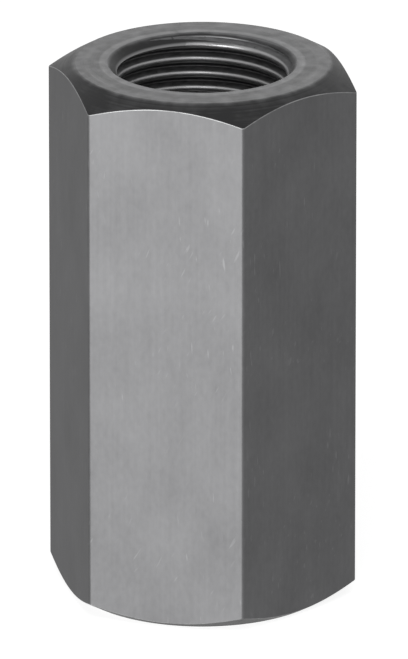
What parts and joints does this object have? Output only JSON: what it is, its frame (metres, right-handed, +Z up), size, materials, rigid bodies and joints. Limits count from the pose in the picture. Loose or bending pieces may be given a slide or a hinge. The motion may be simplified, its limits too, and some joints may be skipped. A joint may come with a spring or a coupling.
{
  "type": "coupling nut",
  "caption": "Long hexagonal nut, threaded right through, that joins threaded rods end to end.",
  "frame": {"origin": "centre of the bottom end face, on the thread's axis", "axes": "+Z up along the thread's axis; -Y and +Y are the outward normals of two opposite wrench flats; two corners lie on the X axis"},
  "size_m": [0.0414, 0.036, 0.072],
  "materials": {
    "steel": "satin, drawn bar with turned ends"
  },
  "bodies": {
    "root": {"coupling_nut": "steel"}
  },
  "joints": []
}
